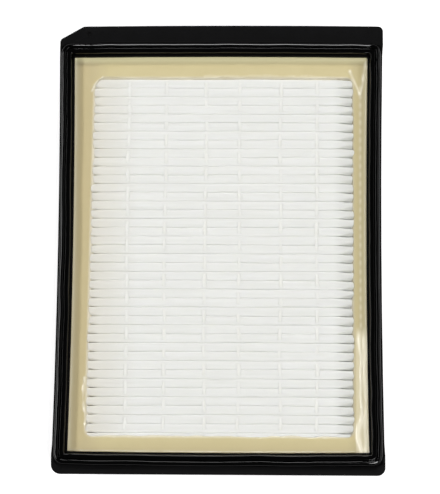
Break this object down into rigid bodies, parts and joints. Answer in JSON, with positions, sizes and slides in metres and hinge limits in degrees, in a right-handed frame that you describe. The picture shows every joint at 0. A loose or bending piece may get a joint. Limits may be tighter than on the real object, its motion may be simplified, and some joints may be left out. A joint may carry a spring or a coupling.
{
  "type": "hepa filter panel",
  "caption": "Flat pleated air filter panel: black flanged tray with a double-bead rubber seal, cream potting and white pleated media held apart by adhesive strings.",
  "frame": {"origin": "centre of the bounding box's bottom face, on the rear rim that the panel lies on", "axes": "+Z out of the pleated face, +Y along the panel towards the wide end of the flange, +X across the panel"},
  "size_m": [0.145, 0.2004, 0.0225],
  "materials": {
    "frame": "matte moulded",
    "seal": "glossy",
    "potting": "cast, glossy",
    "media": "non-woven",
    "string": "satin"
  },
  "bodies": {
    "root": {"frame": "frame", "seal": "seal", "potting": "potting", "pleated_media": "media", "front_separator_1": "string", "front_separator_2": "string", "front_separator_3": "string", "front_separator_4": "string", "front_separator_5": "string", "front_separator_6": "string", "rear_separator_1": "string", "rear_separator_2": "string", "rear_separator_3": "string", "rear_separator_4": "string", "rear_separator_5": "string", "rear_separator_6": "string"}
  },
  "joints": []
}
